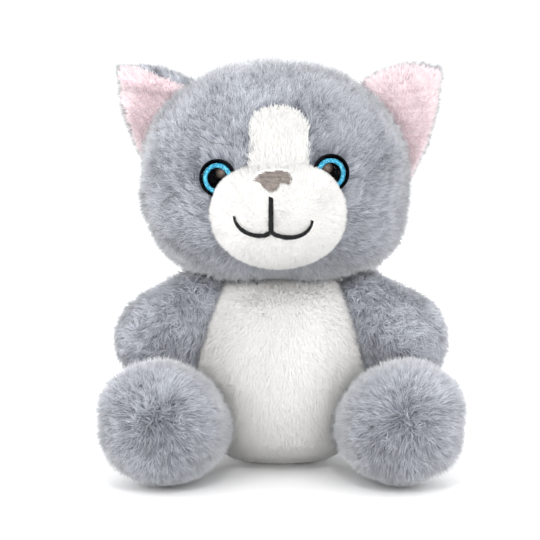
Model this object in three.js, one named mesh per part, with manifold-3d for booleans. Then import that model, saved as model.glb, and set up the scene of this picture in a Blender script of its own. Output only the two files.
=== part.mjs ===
// A sitting plush kitten with a sound module in its torso: stuffed covers that are sewn together,
// safety eyes, embroidered nose and mouth, and a battery-powered module behind a flap in the back.
// Millimetres, +Z up. The kitten faces -Y, and the origin is on the floor under its seat.
// Left and right in names are as seen from the front, so left is -X.
import * as THREE from 'three';
import { mergeVertices } from 'three/addons/utils/BufferGeometryUtils.js';
import Module from 'manifold-3d';

const wasm = await Module();
wasm.setup();

// ---------------------------------------------------------------- driving dimensions
const CLOTH = 2.5; // plush cloth with its pile pressed flat
const GAP = 0.4; // clearance between pieces that touch
const LOOSE = 1; // clearance between a cover and the fibre in it
const FAR = 400; // larger than the object, for cutting blocks

const TORSO = { at: [0, 2, 44], radii: [46, 40, 52] };
// `jowl` is how full an outline is below its middle: 2 is an ellipse, and more is squarer.
const HEAD = { at: [-2.5, 0, 137], radii: [60, 48, 50], jowl: 2.8 };
const MUZZLE = { at: [-1.5, -38, 122], radii: [29.5, 24.5, 23.5] };
const NECK = { at: [-1.5, 2, 82], radius: 14 };

// A limb is two balls and the cone between them: `at` is the ball in its joint, `end` the other.
const ARM = { at: [38.5, 0, 73], radius: 16, end: [54.5, -8, 60.5], endRadius: 21.5 };
const LEG = { at: [36, -14, 20], radius: 15, end: [53, -55, 27.4], endRadius: 27.5 };
const TAIL = { at: [0, 38, 12], radius: 9, end: [6, 52, 12.5], endRadius: 10.5 };

const EYE = {
  radius: 8.6, ring: [5.2, 7.1], left: [-28, 138], right: [21.5, 140.2], stemRadius: 2.2, stemLength: 13,
};
const WASHER = { radius: 6.4, depth: 9.2, thick: 1.6 };
const EAR = { back: 3.4, lining: 2, front: 1.5, clear: 2.2, bulge: 0.5, round: 0.17, inset: 0.06 };
const EAR_OUTLINES = {
  left: { top: [-35, 175], tip: [-77, 187.5], low: [-61, 138] },
  right: { top: [37.5, 178.5], tip: [76, 186], low: [58, 129] },
};
const BLAZE = { left: -15, right: 12.4, low: 138, shoulder: 153, high: 168.5, thick: 2.2 };
const NOSE_THICK = 1.8;
// The smile: a line from `top` to `meet`, and an arc through a dip to each corner.
const MOUTH = {
  top: [-4.7, 130.5], meet: [-4.7, 116.6],
  left: { dip: [-9.5, 113.7], corner: [-21, 122.4] },
  right: { dip: [4, 113], corner: [13.6, 120.6] },
  thread: 0.85, stand: 1.4,
};

// The sound module: a case of two halves that meet at `split`, front face towards the belly.
const CASE = { x: 23, low: 19, high: 61, front: 0, split: 14, rear: 29, wall: 1.8, corner: 8 };
const CASE_SCREWS = [[-18, 24], [18, 56]];
const POST = { radius: 2.8, bore: 1.4 }; // the posts that the case screws run in
const WINDOW = { x: 21, low: 27, high: 57 }; // the opening in the back that the flap closes
const SLEEVE = { clear: 0.8, thick: 1.4 }; // the pocket liner round the window
const STRIP = { x: 16, low: 28.5, high: 34.5, thick: 1.2 }; // hook and loop tape
const DOOR = { x: 21, low: 32, high: 50.6, thick: 1.5, screw: 48.6 };
const BAY = { x: 20, low: 33, high: 47, floor: 18.6, wall: 1.4 }; // the battery bay
const CELL = { radius: 5.8, height: 5.2, pitch: 12.6, y: 21.6, z: 39.2 };
const STRAP = { long: 17, short: 4, low: 36, high: 42, thick: 0.4 }; // the cells' contact strips
const SPRING = { turns: 2.5, wide: 3.4, narrow: 2, rise: 0.6, wire: 0.18 };
const SPEAKER = { z: 46, radius: 13, holes: 1.7, ring: 6.5 };
const PRESS = { z: 27, x: 12.5, half: 4, stands: 2, flange: 1.1 };
const SLIDER = { z: 54.5, travel: 4, neck: 1.6 };
const BOARD = { x0: -14, x1: 19, low: 22.5, high: 50, front: 12, thick: 1.2 };
const CHIPS = [[-8, 30], [-8, 44], [13, 44]];
const CAPACITOR = { at: [13, 28], radius: 2.5, length: 3.6 };
const WIRE = 0.5;

// Where the torso's fibre lies: a column front and back, a wider rear part, and room for the tail.
const FIBRE = { column: 17, rear: 4, rearHigh: 44, tail: { x: 15, y: 27, high: 26 } };

// ---------------------------------------------------------------- materials
const finish = (color, roughness, metalness = 0) =>
  new THREE.MeshStandardMaterial({ color, roughness, metalness });
const GREY_PLUSH = finish(0x9ea3ae, 1);
const WHITE_PLUSH = finish(0xf4f2ef, 1);
const PINK_PLUSH = finish(0xe9cdd6, 1);
const STUFFING = finish(0xf0efec, 1);
const NOSE_THREAD = finish(0x9b918b, 0.8);
const MOUTH_THREAD = finish(0x15151a, 0.8);
const EYE_BLACK = finish(0x0b0b10, 0.25);
const EYE_GLITTER = finish(0x2ba6d6, 0.3, 0.5);
const EYE_CLEAR = finish(0x1a2026, 0.05);
const WASHER_PLASTIC = finish(0xe8e8e4, 0.5);
const CASE_PLASTIC = finish(0xe4e2dc, 0.5);
const BUTTON_PLASTIC = finish(0xd9d6cf, 0.45);
const BOARD_GREEN = finish(0x2f6b3c, 0.6);
const BLACK_PLASTIC = finish(0x202022, 0.5);
const SPEAKER_STEEL = finish(0x9a9a9a, 0.35, 0.9);
const SPEAKER_CONE = finish(0x2a2a2c, 0.8);
const NICKEL = finish(0xc4c4c0, 0.3, 1);
const SCREW_STEEL = finish(0xa8a8a6, 0.35, 1);
const RED_WIRE = finish(0xb42a24, 0.5);
const BLACK_WIRE = finish(0x1c1c1e, 0.5);
const TAPE = finish(0xb9bcc2, 0.95);

// ---------------------------------------------------------------- solids
// A closed three.js geometry as a solid that can be joined and cut.
function solid(geometry, matrix = new THREE.Matrix4()) {
  const placed = geometry.clone().applyMatrix4(matrix);
  placed.deleteAttribute('normal');
  placed.deleteAttribute('uv');
  const merged = mergeVertices(placed, 1e-4);
  return new wasm.Manifold(new wasm.Mesh({
    numProp: 3,
    vertProperties: merged.attributes.position.array,
    triVerts: new Uint32Array(merged.index.array),
  }));
}

function geometryOf(made) {
  const mesh = made.getMesh();
  const geometry = new THREE.BufferGeometry();
  const position = new Float32Array(mesh.numVert * 3);
  for (let i = 0; i < mesh.numVert; i++) {
    position.set(mesh.vertProperties.subarray(i * mesh.numProp, i * mesh.numProp + 3), i * 3);
  }
  geometry.setAttribute('position', new THREE.BufferAttribute(position, 3));
  geometry.setIndex(new THREE.BufferAttribute(mesh.triVerts, 1));
  geometry.computeVertexNormals();
  return geometry;
}

// The largest of the bodies that a cut leaves.
function largest(made) {
  return made.decompose().reduce((a, b) => (a.volume() > b.volume() ? a : b));
}

const move = (x, y, z) => new THREE.Matrix4().makeTranslation(x, y, z);

// +Y turned to point along `direction`, with its foot at `at`.
function along(direction, at) {
  const turn = new THREE.Quaternion().setFromUnitVectors(
    new THREE.Vector3(0, 1, 0), new THREE.Vector3(...direction).normalize());
  return new THREE.Matrix4().compose(
    new THREE.Vector3(...at), turn, new THREE.Vector3(1, 1, 1));
}

// How far along [u, w], a place in the front view, a full-jowled outline of size 1 reaches: 1 is on it.
function reach(u, w, jowl = 2) {
  const power = w < 0 ? jowl : 2;
  return (Math.abs(u) ** power + Math.abs(w) ** power) ** (1 / power);
}

function ellipsoid(
  { at, radii, jowl }, grow = 0, around = 22, down = 12, placed = new THREE.Matrix4(),
) {
  const ball = new THREE.SphereGeometry(1, around, down).rotateX(Math.PI / 2);
  const point = ball.attributes.position;
  for (let i = 0; i < point.count; i++) {
    const [x, z] = [point.getX(i), point.getZ(i)];
    const full = Math.hypot(x, z) / Math.max(reach(x, z, jowl), 1e-9);
    if (full > 0) point.setXYZ(i, x * full, point.getY(i), z * full);
  }
  const size = new THREE.Matrix4().makeScale(...radii.map((r) => r + grow));
  return solid(ball, placed.clone().multiply(move(...at)).multiply(size));
}

const ball = (at, radius, around = 16, down = 10) =>
  ellipsoid({ at, radii: [radius, radius, radius] }, 0, around, down);

function block([x0, y0, z0], [x1, y1, z1]) {
  const box = new THREE.BoxGeometry(x1 - x0, y1 - y0, z1 - z0);
  return solid(box, move((x0 + x1) / 2, (y0 + y1) / 2, (z0 + z1) / 2));
}

// A rod from `at` along `direction`.
function rod(at, direction, radius, length, sides = 16) {
  const bar = new THREE.CylinderGeometry(radius, radius, length, sides);
  return solid(bar.translate(0, length / 2, 0), along(direction, at));
}

// A turned piece: [radius, height] points from axis to axis, heights measured along `direction`.
function turned(points, at, direction, sides = 20, placed = new THREE.Matrix4()) {
  const profile = points.map(([r, h]) => new THREE.Vector2(r, h));
  const matrix = placed.clone().multiply(along(direction, at));
  return solid(new THREE.LatheGeometry(profile, sides), matrix);
}

// An outline drawn in X and Z, as a plate from y0 to y1.
function plate(shape, y0, y1, curveSegments = 4) {
  const slab = new THREE.ExtrudeGeometry(shape, {
    depth: y1 - y0, bevelEnabled: false, curveSegments,
  });
  return solid(slab.rotateX(Math.PI / 2), move(0, y1, 0));
}

function roundedRectangle(x0, z0, x1, z1, r) {
  const s = new THREE.Shape();
  s.moveTo(x0 + r, z0);
  s.lineTo(x1 - r, z0).absarc(x1 - r, z0 + r, r, -Math.PI / 2, 0);
  s.lineTo(x1, z1 - r).absarc(x1 - r, z1 - r, r, 0, Math.PI / 2);
  s.lineTo(x0 + r, z1).absarc(x0 + r, z1 - r, r, Math.PI / 2, Math.PI);
  s.lineTo(x0, z0 + r).absarc(x0 + r, z0 + r, r, Math.PI, Math.PI * 1.5);
  return s;
}

function tube(points, radius, sides = 8, steps = 14) {
  const section = new THREE.Shape();
  section.absarc(0, 0, radius, 0, Math.PI * 2);
  const path = new THREE.CatmullRomCurve3(points.map((p) => new THREE.Vector3(...p)));
  return solid(new THREE.ExtrudeGeometry(section, {
    steps, curveSegments: sides, extrudePath: path,
  }));
}

// Two balls and the cone that touches both, as one turned solid.
function limb(
  { at, radius, end, endRadius }, grow = 0, sides = 16, arcSteps = 4, placed = new THREE.Matrix4(),
) {
  const a = new THREE.Vector3(...at);
  const axis = new THREE.Vector3(...end).sub(a);
  const length = axis.length();
  const touch = Math.acos((radius - endRadius) / length);
  const arc = (centre, r, from, to) => Array.from({ length: arcSteps + 1 }, (_, i) => {
    const angle = from + (to - from) * i / arcSteps;
    return [Math.max(0, r * Math.sin(angle)), centre + r * Math.cos(angle)];
  });
  const points = [
    ...arc(0, radius + grow, Math.PI, touch),
    ...arc(length, endRadius + grow, touch, 0),
  ];
  points[0][0] = 0;
  points[points.length - 1][0] = 0;
  return turned(points, at, axis.toArray(), sides, placed);
}

const mirrored = (limbSpec, side) => ({
  ...limbSpec,
  at: [side * limbSpec.at[0], limbSpec.at[1], limbSpec.at[2]],
  end: [side * limbSpec.end[0], limbSpec.end[1], limbSpec.end[2]],
});

const below = (z) => block([-FAR, -FAR, -FAR], [FAR, FAR, z]);
const ahead = (y) => block([-FAR, -FAR, -FAR], [FAR, y, FAR]);
const behind = (y) => block([-FAR, y, -FAR], [FAR, FAR, FAR]);

// ---------------------------------------------------------------- the model
const kitten = new THREE.Group();
kitten.name = 'plush_kitten';

function add(name, made, material) {
  const mesh = new THREE.Mesh(geometryOf(made), material);
  mesh.name = name;
  kitten.add(mesh);
}

// A stuffed limb: a cover, open where it is sewn on, and the fibre inside it.
function addLimb(name, spec, cover) {
  const outer = limb(spec).subtract(below(0));
  const inside = limb(spec, -CLOTH, 12, 3).subtract(below(CLOTH));
  const inwards = spec.at.map((v, i) => v - spec.end[i]);
  const opening = rod(spec.at, inwards, spec.radius * 0.6, FAR / 4);
  add(`${name}_cover`, outer.subtract(inside).subtract(opening), cover);
  const fibre = limb(spec, -CLOTH - LOOSE, 12, 3).subtract(below(CLOTH + GAP));
  add(`${name}_stuffing`, fibre, STUFFING);
}

// ---------------------------------------------------------------- torso
const limbs = {
  left_arm: mirrored(ARM, -1),
  right_arm: ARM,
  left_leg: mirrored(LEG, -1),
  right_leg: LEG,
  tail: TAIL,
};

// How far each limb swings about the middle of its joint: an axis, and the two ends of its range.
const SWINGS = {
  left_arm: { axis: [0, 1, 0], range: [0, 35] },
  right_arm: { axis: [0, -1, 0], range: [0, 35] },
  left_leg: { axis: [0, 0, -1], range: [-6, 20] },
  right_leg: { axis: [0, 0, 1], range: [-6, 20] },
  tail: { axis: [0, 0, 1], range: [-30, 30] },
};
const HEAD_TURN = 25;
const HEAD_NOD = 8;
const ROOM = 2; // clearance round a limb that moves, measured on its coarse outline

// A turn of so many degrees about an axis through `at`.
function turnAbout(at, axis, degrees) {
  const turn = new THREE.Matrix4().makeRotationAxis(
    new THREE.Vector3(...axis), THREE.MathUtils.degToRad(degrees));
  return move(...at).multiply(turn).multiply(move(...at.map((v) => -v)));
}

// The room that a limb needs as it swings: its coarse outline at both ends and the middle.
function limbRoom(name) {
  const spec = limbs[name];
  const { axis, range } = SWINGS[name];
  let room = ball(spec.at, spec.radius + ROOM, 10, 6);
  for (const share of [0, 0.5, 1]) {
    const degrees = range[0] + (range[1] - range[0]) * share;
    room = room.add(limb(spec, ROOM, 10, 3, turnAbout(spec.at, axis, degrees)));
  }
  return room;
}
const sockets = Object.keys(limbs).map(limbRoom);

// The room that the head needs at rest and at the four corners of its turn and nod.
function headRoom() {
  let room = ellipsoid(HEAD, ROOM, 16, 9);
  for (const turn of [-HEAD_TURN, HEAD_TURN]) {
    for (const nod of [-HEAD_NOD, HEAD_NOD]) {
      const placed = turnAbout(NECK.at, [0, 0, 1], turn)
        .multiply(turnAbout(NECK.at, [1, 0, 0], nod));
      room = room.add(ellipsoid(HEAD, ROOM, 16, 9, placed));
    }
  }
  return room.add(ball(NECK.at, NECK.radius + GAP, 20, 12));
}

function caseOutline(inset = 0) {
  return roundedRectangle(
    -CASE.x + inset, CASE.low + inset, CASE.x - inset, CASE.high - inset, CASE.corner - inset);
}

function windowBlock(grow, y0, y1) {
  return block(
    [-WINDOW.x - grow, y0, WINDOW.low - grow], [WINDOW.x + grow, y1, WINDOW.high + grow]);
}

function addTorso() {
  const outer = ellipsoid(TORSO).subtract(below(0));
  const inside = ellipsoid(TORSO, -CLOTH).subtract(below(CLOTH));
  const seat = headRoom();
  let skin = outer.subtract(inside).subtract(seat);
  for (const socket of sockets) skin = skin.subtract(socket);
  const side = skin.subtract(below(CLOTH + GAP));
  const seam = TORSO.at[1];
  add('belly_panel', largest(side.intersect(ahead(seam - GAP / 2))), WHITE_PLUSH);

  const back = side.intersect(behind(seam + GAP / 2));
  add('back_panel', largest(back.subtract(windowBlock(0, seam, FAR))), GREY_PLUSH);
  add('base_panel', largest(skin.intersect(below(CLOTH))), GREY_PLUSH);

  // The flap is the piece of back that the window leaves out, and swings on its top edge.
  const flap = back.intersect(windowBlock(-GAP, seam, FAR));
  add('access_flap', largest(flap), GREY_PLUSH);
  addFastenings();

  // A cloth sleeve from the window to the module keeps the stuffing off the battery door.
  const sleeveOut = SLEEVE.clear + SLEEVE.thick;
  const sleeve = windowBlock(sleeveOut, CASE.rear + GAP, TORSO.at[1] + TORSO.radii[1])
    .subtract(windowBlock(SLEEVE.clear, 0, FAR))
    .intersect(ellipsoid(TORSO, -CLOTH - GAP));
  add('pocket_liner', largest(sleeve), STUFFING);

  add('neck_stuffing', ball(NECK.at, NECK.radius, 18, 10), STUFFING);

  const { column, rear, rearHigh, tail } = FIBRE;
  const fibre = ellipsoid(TORSO, -CLOTH - GAP - LOOSE, 16, 8)
    .subtract(below(CLOTH + GAP))
    .subtract(seat)
    .intersect(block([-column, -FAR, 0], [column, FAR, FAR])
      .add(block([-FAR, rear, 0], [FAR, FAR, rearHigh])))
    .subtract(block([-tail.x, tail.y, 0], [tail.x, FAR, tail.high]));
  const room = plate(caseOutline(-GAP), CASE.front - GAP, CASE.rear + GAP)
    .add(windowBlock(sleeveOut + GAP, CASE.rear - 1, FAR))
    .add(pressHole(GAP + PRESS.flange, CASE.front - PRESS.stands - GAP, CASE.front));
  add('torso_stuffing', largest(fibre.subtract(room)), STUFFING);
}

// Hook tape on the flap's inside, and loop tape on a tab below the window that it presses against.
function addFastenings() {
  const strip = (outer) => ellipsoid(TORSO, outer)
    .subtract(ellipsoid(TORSO, outer - STRIP.thick))
    .intersect(block([-STRIP.x, TORSO.at[1], STRIP.low], [STRIP.x, FAR, STRIP.high]));
  const hook = -CLOTH - GAP;
  add('hook_tape', largest(strip(hook)), TAPE);
  add('loop_tape', largest(strip(hook - STRIP.thick - GAP)), TAPE);
}

// ---------------------------------------------------------------- sound module
function pressHole(grow, y0, y1) {
  const { x, z, half } = PRESS;
  const hole = roundedRectangle(
    -x - grow, z - half - grow, x + grow, z + half + grow, half);
  return plate(hole, y0, y1);
}

function addCase() {
  addCaseFront();
  addCaseRear();
  CASE_SCREWS.forEach(([x, z], i) => {
    add(`case_screw_${i + 1}`, crossScrew([x, CASE.rear - 0.4, z], 2, 17), SCREW_STEEL);
  });
  const { rear } = CASE;
  const door = block([-DOOR.x, rear - DOOR.thick, DOOR.low], [DOOR.x, rear, DOOR.high])
    .subtract(rod([0, rear - 4, DOOR.screw], [0, 1, 0], 1.2, 8, 12))
    .subtract(rod([0, rear - 0.7, DOOR.screw], [0, 1, 0], 1.95, 4, 12));
  add('battery_door', door, CASE_PLASTIC);
  add('door_screw', crossScrew([0, rear + 0.3, DOOR.screw], 1.6, 7), SCREW_STEEL);
}

// The half that faces the belly: a dish with the speaker's holes and the press plate's hole.
function addCaseFront() {
  const { front, split, wall } = CASE;
  let face = plate(caseOutline(), front, split - GAP / 2)
    .subtract(plate(caseOutline(wall), front + wall, split + 1))
    .subtract(pressHole(GAP, front - 1, front + wall + 1));
  const around = Array.from({ length: 6 }, (_, i) => {
    const angle = (i * Math.PI) / 3;
    return [Math.cos(angle) * SPEAKER.ring, Math.sin(angle) * SPEAKER.ring];
  });
  for (const [x, z] of [[0, 0], ...around]) {
    const at = [x, front - 1, SPEAKER.z + z];
    face = face.subtract(rod(at, [0, 1, 0], SPEAKER.holes, wall + 2, 8));
  }
  const foot = front + wall / 2;
  const postEnd = split - 1.2;
  for (const [x, z] of CASE_SCREWS) {
    face = face
      .add(rod([x, foot, z], [0, 1, 0], POST.radius, postEnd - foot, 12))
      .subtract(rod([x, front + wall, z], [0, 1, 0], POST.bore, split, 10));
  }
  add('case_front', face, CASE_PLASTIC);
}

// The half that faces the window: it holds the battery bay, the door's seat and the power slot.
function addCaseRear() {
  const { split, rear, wall } = CASE;
  const lugTop = DOOR.screw + 2;
  const lugHalf = 2.4;
  const slotHalf = SLIDER.travel / 2 + SLIDER.neck + GAP;
  const slotHigh = 1.3;
  const doorFloor = rear - DOOR.thick - GAP;
  let cup = plate(caseOutline(), split + GAP / 2, rear)
    .subtract(plate(caseOutline(wall), split, rear - wall))
    .add(block([-BAY.x - BAY.wall, BAY.floor, BAY.low - BAY.wall],
      [BAY.x + BAY.wall, rear - 0.2, BAY.high + BAY.wall]))
    .subtract(block([-BAY.x, BAY.floor + BAY.wall, BAY.low], [BAY.x, FAR, BAY.high]))
    .subtract(block([-DOOR.x - GAP, doorFloor, DOOR.low - GAP],
      [DOOR.x + GAP, FAR, DOOR.high + GAP]))
    .add(block([-lugHalf, BAY.floor, BAY.high + GAP], [lugHalf, doorFloor, lugTop]))
    .subtract(rod([0, BAY.floor + 1, DOOR.screw], [0, 1, 0], 1.3, rear, 10))
    .subtract(block([-slotHalf, rear - wall - 1, SLIDER.z - slotHigh],
      [slotHalf, FAR, SLIDER.z + slotHigh]));
  for (const [x, z] of CASE_SCREWS) {
    cup = cup
      .add(rod([x, split + GAP, z], [0, 1, 0], POST.radius, rear - split - 1, 12))
      .subtract(rod([x, split - 1, z], [0, 1, 0], POST.bore, rear, 10))
      .subtract(rod([x, rear - 2.2, z], [0, 1, 0], 2.5, 4, 12));
  }
  add('case_rear', cup, CASE_PLASTIC);
}

// A small self-tapping screw whose head ends at `at` and whose point runs towards -Y.
function crossScrew([x, y, z], headRadius, length) {
  const shank = 0.95;
  const slotHalf = headRadius * 0.65;
  const slotWide = 0.22;
  const slotDeep = 0.6;
  return turned([
    [0, 0], [shank, 1.2], [shank, length - 1], [headRadius, length - 0.9],
    [headRadius, length - 0.4], [headRadius * 0.8, length], [0, length],
  ], [x, y - length, z], [0, 1, 0], 12)
    .subtract(block([x - slotHalf, y - slotDeep, z - slotWide], [x + slotHalf, FAR, z + slotWide]))
    .subtract(block([x - slotWide, y - slotDeep, z - slotHalf], [x + slotWide, FAR, z + slotHalf]));
}

// Three button cells in a row, with a strip behind each pair and a spring at one end.
function addPower() {
  const { radius, height, pitch, y, z } = CELL;
  [-1, 0, 1].forEach((step, i) => {
    const can = turned([
      [0, 0], [radius - 1.2, 0], [radius - 1, 0.5], [radius, 0.9],
      [radius, height - 0.3], [radius - 0.3, height], [0, height],
    ], [step * pitch, y, z], [0, 1, 0], 20);
    add(`button_cell_${i + 1}`, can, NICKEL);
  });
  const { long, short, low, high, thick } = STRAP;
  const inner = BAY.floor + BAY.wall + GAP;
  const outer = y + height + 0.15;
  const innerStrip = block([-long, inner, low], [short, inner + thick, high]);
  const doorStrip = block([-short, outer, low], [long, outer + 0.25, high]);
  add('contact_strip_inner', innerStrip, NICKEL);
  add('contact_strip_door', doorStrip, NICKEL);

  const steps = 20;
  const coil = Array.from({ length: steps + 1 }, (_, i) => {
    const share = i / steps;
    const angle = share * SPRING.turns * Math.PI * 2;
    const r = SPRING.wide + (SPRING.narrow - SPRING.wide) * share;
    const rise = inner + 0.1 + share * SPRING.rise;
    return [pitch + Math.cos(angle) * r, rise, z + Math.sin(angle) * r];
  });
  add('contact_spring', tube(coil, SPRING.wire, 4, 30), NICKEL);
}

function addSpeaker() {
  const { z, radius } = SPEAKER;
  const at = [0, CASE.front + CASE.wall + GAP, z];
  const rim = radius - 2.4;
  const magnet = 7.2;
  const frame = turned([
    [0, 4.6], [5, 4.6], [5.6, 4], [rim, 1], [rim, 0], [radius - 0.4, 0],
    [radius - 0.4, 1.2], [magnet, 5], [magnet, magnet], [0, magnet],
  ], at, [0, 1, 0], 20);
  add('speaker_frame', frame, SPEAKER_STEEL);
  const edge = radius - 2.9;
  const cone = turned([
    [0, 1.1], [2.8, 1.7], [4, 3.1], [8.6, 0.9], [edge, 0.2],
    [edge, 0.7], [8.8, 1.4], [4.1, 3.7], [0, 3.9],
  ], at, [0, 1, 0], 20);
  add('speaker_cone', cone, SPEAKER_CONE);
}

function addElectronics() {
  addBoard();
  addPressPlate();
  addPowerSlider();
  const top = [CASE.front + CASE.wall + 8.6, SPEAKER.z - 2];
  const wire = (x) => tube([
    [x, top[0], top[1]], [x, top[0] + 0.3, top[1] - 3],
    [x + 1, BOARD.front - 1.6, top[1] - 6], [x + 1.5, BOARD.front - 1.1, top[1] - 8.5],
  ], WIRE, 6, 8);
  add('speaker_wire_red', wire(-5), RED_WIRE);
  add('speaker_wire_black', wire(3.5), BLACK_WIRE);
}

// The board with the resin over its sound chip, three small chips and a capacitor.
function addBoard() {
  const { x0, x1, low, high, front, thick } = BOARD;
  const rearFace = front + thick;
  const resin = ellipsoid({ at: [4, rearFace, 34], radii: [5.5, 2.2, 5.5] }, 0, 14, 8)
    .intersect(behind(rearFace - GAP));
  let board = block([x0, front, low], [x1, rearFace, high]).add(resin);
  for (const [x, z] of CHIPS) {
    board = board.add(block([x - 1.4, front + 0.2, z - 0.9], [x + 1.4, rearFace + 1.1, z + 0.9]));
  }
  const [cx, cz] = CAPACITOR.at;
  const can = rod([cx, rearFace - 0.2, cz], [0, 1, 0], CAPACITOR.radius, CAPACITOR.length, 12);
  add('circuit_board', board.add(can), BOARD_GREEN);
}

// The plate in the case's front face, and the switch on the board that it presses.
function addPressPlate() {
  const { front, wall } = CASE;
  const half = 3;
  const stem = 1.6;
  const { z } = PRESS;
  const tact = block([-half, BOARD.front - 2.6, z - half], [half, BOARD.front - GAP, z + half])
    .add(rod([0, BOARD.front - 3.4, z], [0, 1, 0], stem, stem, 12));
  add('press_switch', tact, BLACK_PLASTIC);

  const inside = front + wall + GAP;
  const plunger = rod([0, front + 1, z], [0, 1, 0], 2, 5.9, 12);
  const button = pressHole(0, front - PRESS.stands, inside + 0.6)
    .add(pressHole(PRESS.flange, inside, inside + 0.9))
    .add(plunger);
  add('press_plate', button, BUTTON_PLASTIC);
}

// The knob on the case's rear face, its neck through the slot, and the switch that it works.
function addPowerSlider() {
  const { z, neck } = SLIDER;
  const { rear } = CASE;
  const inner = rear - CASE.wall - GAP;
  const rest = -SLIDER.travel / 2;
  const piece = (half, y0, y1, high) => block([rest - half, y0, z - high], [rest + half, y1, z + high]);
  let knob = piece(2.8, rear + GAP, rear + 1.6, 2)
    .add(piece(neck, inner - 0.6, rear + 1, 0.9))
    .add(piece(2.4, inner - 0.8, inner, 2));
  for (const x of [-1.8, 0, 1.8]) {
    const rib = block([rest + x - 0.35, rear + 1.2, z - 1.7], [rest + x + 0.35, rear + 2, z + 1.7]);
    knob = knob.add(rib);
  }
  add('power_slider', knob, BLACK_PLASTIC);
  const body = block([-6, inner - 5.4, z - 2.2], [6, inner - 0.8 - GAP, z + 2.2]);
  add('power_switch', body, SPEAKER_STEEL);
}

// ---------------------------------------------------------------- head
// The head's surface at [x, z] on its front, and the direction that it faces there.
function onFront({ at, radii, jowl }, [x, z], grow = 0) {
  const [a, b, c] = radii.map((r) => r + grow);
  const u = (x - at[0]) / a;
  const w = (z - at[2]) / c;
  const v = -Math.sqrt(Math.max(0, 1 - reach(u, w, jowl) ** 2));
  const facing = new THREE.Vector3(u / a, v / b, w / c).normalize();
  return { point: [x, at[1] + v * b, z], facing: facing.toArray() };
}

// A safety eye: a cup with a stem, a glitter ring in it, a clear dome, and a washer on the stem.
function eyePieces(place) {
  const { point, facing } = onFront(HEAD, place, 0.3);
  const at = (depth) => point.map((v, i) => v + facing[i] * depth);
  const r = EYE.radius;
  const stem = EYE.stemRadius;
  const cup = turned([
    [0, -EYE.stemLength], [stem - 0.4, -EYE.stemLength], [stem, -EYE.stemLength + 1], [stem, 0],
    [r - 0.8, 0], [r, 0.8], [r, 2.4], [r - 0.9, 2.4], [r - 0.9, 1.3], [0, 1.3],
  ], at(0), facing, 20);
  const [pupil, rim] = EYE.ring;
  const ring = turned([
    [pupil, 1.6], [rim, 1.6], [rim, 2.1], [pupil, 2.1], [pupil, 1.6],
  ], at(0), facing, 20);
  const dome = turned([
    [0, 2.45], [r - 1.3, 2.45], [r - 1.3, 2.8], [r - 2.6, 4.2], [r - 5, 5.4], [r - 7, 5.9], [0, 6],
  ], at(0), facing, 20);
  const bore = stem + GAP;
  const { radius, depth, thick } = WASHER;
  const washer = turned([
    [bore, -depth], [radius - 0.2, -depth], [radius, thick / 2 - depth], [bore, thick - depth],
    [bore, -depth],
  ], at(0), facing, 16);
  const room = rod(at(-EYE.stemLength - 1), facing, bore, EYE.stemLength + 2, 10)
    .add(rod(at(-depth - GAP), facing, radius + 2 * GAP, thick + LOOSE, 12));
  const envelope = rod(at(-1), facing, r + GAP, 8, 24);
  return { cup, ring, dome, washer, room, envelope };
}

function addHead() {
  const recess = ball(NECK.at, NECK.radius + 2 * GAP, 18, 10);
  const eyes = { left: eyePieces(EYE.left), right: eyePieces(EYE.right) };
  const stems = eyes.left.room.add(eyes.right.room);

  const skin = ellipsoid(HEAD).subtract(ellipsoid(HEAD, -CLOTH));
  add('head_cover', largest(skin.subtract(recess).subtract(stems)), GREY_PLUSH);
  const hollow = ball(NECK.at, NECK.radius + 3 * GAP, 12, 7);
  const fibre = ellipsoid(HEAD, -CLOTH - GAP - LOOSE, 16, 9).subtract(hollow).subtract(stems);
  add('head_stuffing', largest(fibre), STUFFING);

  for (const side of ['left', 'right']) {
    add(`${side}_eye_cup`, eyes[side].cup, EYE_BLACK);
    add(`${side}_eye_ring`, eyes[side].ring, EYE_GLITTER);
    add(`${side}_eye_dome`, eyes[side].dome, EYE_CLEAR);
    add(`${side}_eye_washer`, eyes[side].washer, WASHER_PLASTIC);
  }
  addFace(eyes.left.envelope.add(eyes.right.envelope));
}

function addFace(eyeRoom) {
  const snout = ellipsoid(MUZZLE)
    .subtract(ellipsoid(HEAD, GAP)).subtract(eyeRoom);
  add('muzzle_panel', largest(snout), WHITE_PLUSH);

  const { left, right, low, shoulder, high, thick } = BLAZE;
  const crown = (left + right) / 2;
  const stripe = new THREE.Shape();
  stripe.moveTo(left, low).lineTo(left, shoulder);
  stripe.quadraticCurveTo(left + 1, high, crown, high);
  stripe.quadraticCurveTo(right - 1, high, right, shoulder);
  stripe.lineTo(right, low).closePath();
  const blaze = plate(stripe, -FAR, HEAD.at[1] - 20, 5)
    .intersect(ellipsoid(HEAD, thick).subtract(ellipsoid(HEAD, GAP)))
    .subtract(ellipsoid(MUZZLE, GAP)).subtract(eyeRoom);
  add('blaze_panel', largest(blaze), WHITE_PLUSH);

  // The nose: a wide cap with a lobe at each side and a blunt stem below.
  const nose = new THREE.Shape();
  nose.moveTo(-13.2, 137.3).quadraticCurveTo(-11, 141.5, -4.5, 141.6);
  nose.quadraticCurveTo(3.6, 143, 4.8, 139).quadraticCurveTo(5, 136.4, 3, 136.6);
  nose.quadraticCurveTo(0.4, 137.8, -0.9, 136.4).quadraticCurveTo(-1.6, 133.6, -4.4, 133.5);
  nose.quadraticCurveTo(-7.6, 133.8, -9.3, 136.6).quadraticCurveTo(-11, 137.8, -13.2, 137.3);
  const pad = plate(nose, -FAR, MUZZLE.at[1] - 2, 4)
    .intersect(ellipsoid(MUZZLE, NOSE_THICK).subtract(ellipsoid(MUZZLE, GAP)));
  add('nose_embroidery', largest(pad), NOSE_THREAD);
  add('mouth_embroidery', smile(), MOUTH_THREAD);
}

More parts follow.
